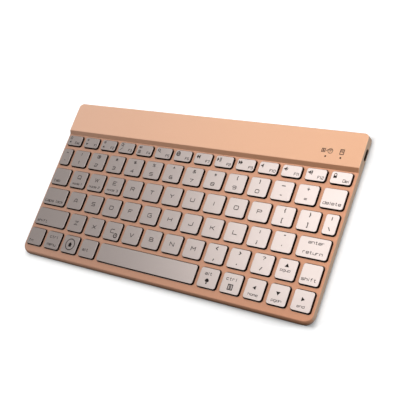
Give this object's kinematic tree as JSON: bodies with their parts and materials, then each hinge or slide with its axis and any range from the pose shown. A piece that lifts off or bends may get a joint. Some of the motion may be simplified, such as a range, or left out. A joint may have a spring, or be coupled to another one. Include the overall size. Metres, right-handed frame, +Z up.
{
  "type": "wireless tablet keyboard",
  "caption": "Slim rose-gold wireless keyboard for a tablet: flat deck of low champagne caps with black skirts, raised rear bar, side charging socket and back switch.",
  "frame": {"origin": "on the surface that the rubber feet rest on, under the middle of the case", "axes": "+X along the width to the typist's right, +Y from the typist towards the raised bar, +Z up"},
  "size_m": [0.24, 0.121, 0.0067],
  "materials": {
    "top_shell": "satin rose-gold anodised, fine blasted grain",
    "base_shell": "matte moulded, warm grey",
    "keycap": "painted satin champagne silver on a black cap",
    "cap_skirt": "black moulded",
    "legend": "thin dark grey print",
    "steel": "brushed",
    "membrane": "clear film with printed tracks",
    "dome": "translucent silicone",
    "link": "white moulded",
    "battery": "foil pouch",
    "board": "solder mask",
    "socket": "bright plated",
    "switch": "matte, ridged",
    "light": "smoked clear",
    "foot": "matte",
    "screw": "dark plated"
  },
  "bodies": {
    "case": {"bottom_cover": "base_shell", "key_deck": "top_shell", "rear_bar": "top_shell", "support_plate": "steel", "membrane": "membrane", "rubber_domes": "dome", "scissor_links": "link", "battery": "battery", "circuit_board": "board", "charge_socket": "socket", "status_lights": "light", "rubber_feet": "foot", "screws": "screw"},
    "power_switch": {"power_switch": "switch"},
    "number_keys": {"number_keys": "keycap"},
    "punctuation_keys": {"punctuation_keys": "keycap"},
    "function_keys": {"function_keys": "keycap"},
    "key_fn": {"key_fn": "keycap"},
    "key_ctrl_left": {"key_ctrl_left": "keycap"},
    "key_system": {"key_system": "keycap"},
    "key_alt_left": {"key_alt_left": "keycap"},
    "key_space": {"key_space": "keycap"},
    "key_alt_right": {"key_alt_right": "keycap"},
    "key_ctrl_right": {"key_ctrl_right": "keycap"},
    "key_arrow_left": {"key_arrow_left": "keycap"},
    "key_arrow_down": {"key_arrow_down": "keycap"},
    "key_arrow_right": {"key_arrow_right": "keycap"},
    "key_shift_left": {"key_shift_left": "keycap"},
    "key_z": {"key_z": "keycap"},
    "key_x": {"key_x": "keycap"},
    "key_c": {"key_c": "keycap"},
    "key_v": {"key_v": "keycap"},
    "key_b": {"key_b": "keycap"},
    "key_n": {"key_n": "keycap"},
    "key_m": {"key_m": "keycap"},
    "key_arrow_up": {"key_arrow_up": "keycap"},
    "key_shift_right": {"key_shift_right": "keycap"},
    "key_caps_lock": {"key_caps_lock": "keycap"},
    "key_a": {"key_a": "keycap"},
    "key_s": {"key_s": "keycap"},
    "key_d": {"key_d": "keycap"},
    "key_f": {"key_f": "keycap"},
    "key_g": {"key_g": "keycap"},
    "key_h": {"key_h": "keycap"},
    "key_j": {"key_j": "keycap"},
    "key_k": {"key_k": "keycap"},
    "key_l": {"key_l": "keycap"},
    "key_enter": {"key_enter": "keycap"},
    "key_tab": {"key_tab": "keycap"},
    "key_q": {"key_q": "keycap"},
    "key_w": {"key_w": "keycap"},
    "key_e": {"key_e": "keycap"},
    "key_r": {"key_r": "keycap"},
    "key_t": {"key_t": "keycap"},
    "key_y": {"key_y": "keycap"},
    "key_u": {"key_u": "keycap"},
    "key_i": {"key_i": "keycap"},
    "key_o": {"key_o": "keycap"},
    "key_p": {"key_p": "keycap"},
    "key_delete": {"key_delete": "keycap"}
  },
  "joints": [
    {"name": "power_switch_slide", "type": "slide", "parent": "case", "child": "power_switch", "axis": [1, 0, 0], "range_m": [0, 0.0024]},
    {"name": "number_keys_press", "type": "slide", "parent": "case", "child": "number_keys", "axis": [0, 0, -1], "range_m": [0, 0.0013], "stiffness_N_per_m": 3000, "springref_m": -0.0005, "deforming": ["rubber_domes", "scissor_links"]},
    {"name": "punctuation_keys_press", "type": "slide", "parent": "case", "child": "punctuation_keys", "axis": [0, 0, -1], "range_m": [0, 0.0013], "stiffness_N_per_m": 3300, "springref_m": -0.0005, "deforming": ["rubber_domes", "scissor_links"]},
    {"name": "function_keys_press", "type": "slide", "parent": "case", "child": "function_keys", "axis": [0, 0, -1], "range_m": [0, 0.0013], "stiffness_N_per_m": 4200, "springref_m": -0.0005, "deforming": ["rubber_domes", "scissor_links"]},
    {"name": "key_fn_press", "type": "slide", "parent": "case", "child": "key_fn", "axis": [0, 0, -1], "range_m": [0, 0.0013], "stiffness_N_per_m": 300, "springref_m": -0.0005, "deforming": ["rubber_domes", "scissor_links"]},
    {"name": "key_ctrl_left_press", "type": "slide", "parent": "case", "child": "key_ctrl_left", "axis": [0, 0, -1], "range_m": [0, 0.0013], "stiffness_N_per_m": 300, "springref_m": -0.0005, "deforming": ["rubber_domes", "scissor_links"]},
    {"name": "key_system_press", "type": "slide", "parent": "case", "child": "key_system", "axis": [0, 0, -1], "range_m": [0, 0.0013], "stiffness_N_per_m": 300, "springref_m": -0.0005, "deforming": ["rubber_domes", "scissor_links"]},
    {"name": "key_alt_left_press", "type": "slide", "parent": "case", "child": "key_alt_left", "axis": [0, 0, -1], "range_m": [0, 0.0013], "stiffness_N_per_m": 300, "springref_m": -0.0005, "deforming": ["rubber_domes", "scissor_links"]},
    {"name": "key_space_press", "type": "slide", "parent": "case", "child": "key_space", "axis": [0, 0, -1], "range_m": [0, 0.0013], "stiffness_N_per_m": 300, "springref_m": -0.0005, "deforming": ["rubber_domes", "scissor_links"]},
    {"name": "key_alt_right_press", "type": "slide", "parent": "case", "child": "key_alt_right", "axis": [0, 0, -1], "range_m": [0, 0.0013], "stiffness_N_per_m": 300, "springref_m": -0.0005, "deforming": ["rubber_domes", "scissor_links"]},
    {"name": "key_ctrl_right_press", "type": "slide", "parent": "case", "child": "key_ctrl_right", "axis": [0, 0, -1], "range_m": [0, 0.0013], "stiffness_N_per_m": 300, "springref_m": -0.0005, "deforming": ["rubber_domes", "scissor_links"]},
    {"name": "key_arrow_left_press", "type": "slide", "parent": "case", "child": "key_arrow_left", "axis": [0, 0, -1], "range_m": [0, 0.0013], "stiffness_N_per_m": 300, "springref_m": -0.0005, "deforming": ["rubber_domes", "scissor_links"]},
    {"name": "key_arrow_down_press", "type": "slide", "parent": "case", "child": "key_arrow_down", "axis": [0, 0, -1], "range_m": [0, 0.0013], "stiffness_N_per_m": 300, "springref_m": -0.0005, "deforming": ["rubber_domes", "scissor_links"]},
    {"name": "key_arrow_right_press", "type": "slide", "parent": "case", "child": "key_arrow_right", "axis": [0, 0, -1], "range_m": [0, 0.0013], "stiffness_N_per_m": 300, "springref_m": -0.0005, "deforming": ["rubber_domes", "scissor_links"]},
    {"name": "key_shift_left_press", "type": "slide", "parent": "case", "child": "key_shift_left", "axis": [0, 0, -1], "range_m": [0, 0.0013], "stiffness_N_per_m": 300, "springref_m": -0.0005, "deforming": ["rubber_domes", "scissor_links"]},
    {"name": "key_z_press", "type": "slide", "parent": "case", "child": "key_z", "axis": [0, 0, -1], "range_m": [0, 0.0013], "stiffness_N_per_m": 300, "springref_m": -0.0005, "deforming": ["rubber_domes", "scissor_links"]},
    {"name": "key_x_press", "type": "slide", "parent": "case", "child": "key_x", "axis": [0, 0, -1], "range_m": [0, 0.0013], "stiffness_N_per_m": 300, "springref_m": -0.0005, "deforming": ["rubber_domes", "scissor_links"]},
    {"name": "key_c_press", "type": "slide", "parent": "case", "child": "key_c", "axis": [0, 0, -1], "range_m": [0, 0.0013], "stiffness_N_per_m": 300, "springref_m": -0.0005, "deforming": ["rubber_domes", "scissor_links"]},
    {"name": "key_v_press", "type": "slide", "parent": "case", "child": "key_v", "axis": [0, 0, -1], "range_m": [0, 0.0013], "stiffness_N_per_m": 300, "springref_m": -0.0005, "deforming": ["rubber_domes", "scissor_links"]},
    {"name": "key_b_press", "type": "slide", "parent": "case", "child": "key_b", "axis": [0, 0, -1], "range_m": [0, 0.0013], "stiffness_N_per_m": 300, "springref_m": -0.0005, "deforming": ["rubber_domes", "scissor_links"]},
    {"name": "key_n_press", "type": "slide", "parent": "case", "child": "key_n", "axis": [0, 0, -1], "range_m": [0, 0.0013], "stiffness_N_per_m": 300, "springref_m": -0.0005, "deforming": ["rubber_domes", "scissor_links"]},
    {"name": "key_m_press", "type": "slide", "parent": "case", "child": "key_m", "axis": [0, 0, -1], "range_m": [0, 0.0013], "stiffness_N_per_m": 300, "springref_m": -0.0005, "deforming": ["rubber_domes", "scissor_links"]},
    {"name": "key_arrow_up_press", "type": "slide", "parent": "case", "child": "key_arrow_up", "axis": [0, 0, -1], "range_m": [0, 0.0013], "stiffness_N_per_m": 300, "springref_m": -0.0005, "deforming": ["rubber_domes", "scissor_links"]},
    {"name": "key_shift_right_press", "type": "slide", "parent": "case", "child": "key_shift_right", "axis": [0, 0, -1], "range_m": [0, 0.0013], "stiffness_N_per_m": 300, "springref_m": -0.0005, "deforming": ["rubber_domes", "scissor_links"]},
    {"name": "key_caps_lock_press", "type": "slide", "parent": "case", "child": "key_caps_lock", "axis": [0, 0, -1], "range_m": [0, 0.0013], "stiffness_N_per_m": 300, "springref_m": -0.0005, "deforming": ["rubber_domes", "scissor_links"]},
    {"name": "key_a_press", "type": "slide", "parent": "case", "child": "key_a", "axis": [0, 0, -1], "range_m": [0, 0.0013], "stiffness_N_per_m": 300, "springref_m": -0.0005, "deforming": ["rubber_domes", "scissor_links"]},
    {"name": "key_s_press", "type": "slide", "parent": "case", "child": "key_s", "axis": [0, 0, -1], "range_m": [0, 0.0013], "stiffness_N_per_m": 300, "springref_m": -0.0005, "deforming": ["rubber_domes", "scissor_links"]},
    {"name": "key_d_press", "type": "slide", "parent": "case", "child": "key_d", "axis": [0, 0, -1], "range_m": [0, 0.0013], "stiffness_N_per_m": 300, "springref_m": -0.0005, "deforming": ["rubber_domes", "scissor_links"]},
    {"name": "key_f_press", "type": "slide", "parent": "case", "child": "key_f", "axis": [0, 0, -1], "range_m": [0, 0.0013], "stiffness_N_per_m": 300, "springref_m": -0.0005, "deforming": ["rubber_domes", "scissor_links"]},
    {"name": "key_g_press", "type": "slide", "parent": "case", "child": "key_g", "axis": [0, 0, -1], "range_m": [0, 0.0013], "stiffness_N_per_m": 300, "springref_m": -0.0005, "deforming": ["rubber_domes", "scissor_links"]},
    {"name": "key_h_press", "type": "slide", "parent": "case", "child": "key_h", "axis": [0, 0, -1], "range_m": [0, 0.0013], "stiffness_N_per_m": 300, "springref_m": -0.0005, "deforming": ["rubber_domes", "scissor_links"]},
    {"name": "key_j_press", "type": "slide", "parent": "case", "child": "key_j", "axis": [0, 0, -1], "range_m": [0, 0.0013], "stiffness_N_per_m": 300, "springref_m": -0.0005, "deforming": ["rubber_domes", "scissor_links"]},
    {"name": "key_k_press", "type": "slide", "parent": "case", "child": "key_k", "axis": [0, 0, -1], "range_m": [0, 0.0013], "stiffness_N_per_m": 300, "springref_m": -0.0005, "deforming": ["rubber_domes", "scissor_links"]},
    {"name": "key_l_press", "type": "slide", "parent": "case", "child": "key_l", "axis": [0, 0, -1], "range_m": [0, 0.0013], "stiffness_N_per_m": 300, "springref_m": -0.0005, "deforming": ["rubber_domes", "scissor_links"]},
    {"name": "key_enter_press", "type": "slide", "parent": "case", "child": "key_enter", "axis": [0, 0, -1], "range_m": [0, 0.0013], "stiffness_N_per_m": 300, "springref_m": -0.0005, "deforming": ["rubber_domes", "scissor_links"]},
    {"name": "key_tab_press", "type": "slide", "parent": "case", "child": "key_tab", "axis": [0, 0, -1], "range_m": [0, 0.0013], "stiffness_N_per_m": 300, "springref_m": -0.0005, "deforming": ["rubber_domes", "scissor_links"]},
    {"name": "key_q_press", "type": "slide", "parent": "case", "child": "key_q", "axis": [0, 0, -1], "range_m": [0, 0.0013], "stiffness_N_per_m": 300, "springref_m": -0.0005, "deforming": ["rubber_domes", "scissor_links"]},
    {"name": "key_w_press", "type": "slide", "parent": "case", "child": "key_w", "axis": [0, 0, -1], "range_m": [0, 0.0013], "stiffness_N_per_m": 300, "springref_m": -0.0005, "deforming": ["rubber_domes", "scissor_links"]},
    {"name": "key_e_press", "type": "slide", "parent": "case", "child": "key_e", "axis": [0, 0, -1], "range_m": [0, 0.0013], "stiffness_N_per_m": 300, "springref_m": -0.0005, "deforming": ["rubber_domes", "scissor_links"]},
    {"name": "key_r_press", "type": "slide", "parent": "case", "child": "key_r", "axis": [0, 0, -1], "range_m": [0, 0.0013], "stiffness_N_per_m": 300, "springref_m": -0.0005, "deforming": ["rubber_domes", "scissor_links"]},
    {"name": "key_t_press", "type": "slide", "parent": "case", "child": "key_t", "axis": [0, 0, -1], "range_m": [0, 0.0013], "stiffness_N_per_m": 300, "springref_m": -0.0005, "deforming": ["rubber_domes", "scissor_links"]},
    {"name": "key_y_press", "type": "slide", "parent": "case", "child": "key_y", "axis": [0, 0, -1], "range_m": [0, 0.0013], "stiffness_N_per_m": 300, "springref_m": -0.0005, "deforming": ["rubber_domes", "scissor_links"]},
    {"name": "key_u_press", "type": "slide", "parent": "case", "child": "key_u", "axis": [0, 0, -1], "range_m": [0, 0.0013], "stiffness_N_per_m": 300, "springref_m": -0.0005, "deforming": ["rubber_domes", "scissor_links"]},
    {"name": "key_i_press", "type": "slide", "parent": "case", "child": "key_i", "axis": [0, 0, -1], "range_m": [0, 0.0013], "stiffness_N_per_m": 300, "springref_m": -0.0005, "deforming": ["rubber_domes", "scissor_links"]},
    {"name": "key_o_press", "type": "slide", "parent": "case", "child": "key_o", "axis": [0, 0, -1], "range_m": [0, 0.0013], "stiffness_N_per_m": 300, "springref_m": -0.0005, "deforming": ["rubber_domes", "scissor_links"]},
    {"name": "key_p_press", "type": "slide", "parent": "case", "child": "key_p", "axis": [0, 0, -1], "range_m": [0, 0.0013], "stiffness_N_per_m": 300, "springref_m": -0.0005, "deforming": ["rubber_domes", "scissor_links"]},
    {"name": "key_delete_press", "type": "slide", "parent": "case", "child": "key_delete", "axis": [0, 0, -1], "range_m": [0, 0.0013], "stiffness_N_per_m": 300, "springref_m": -0.0005, "deforming": ["rubber_domes", "scissor_links"]}
  ]
}
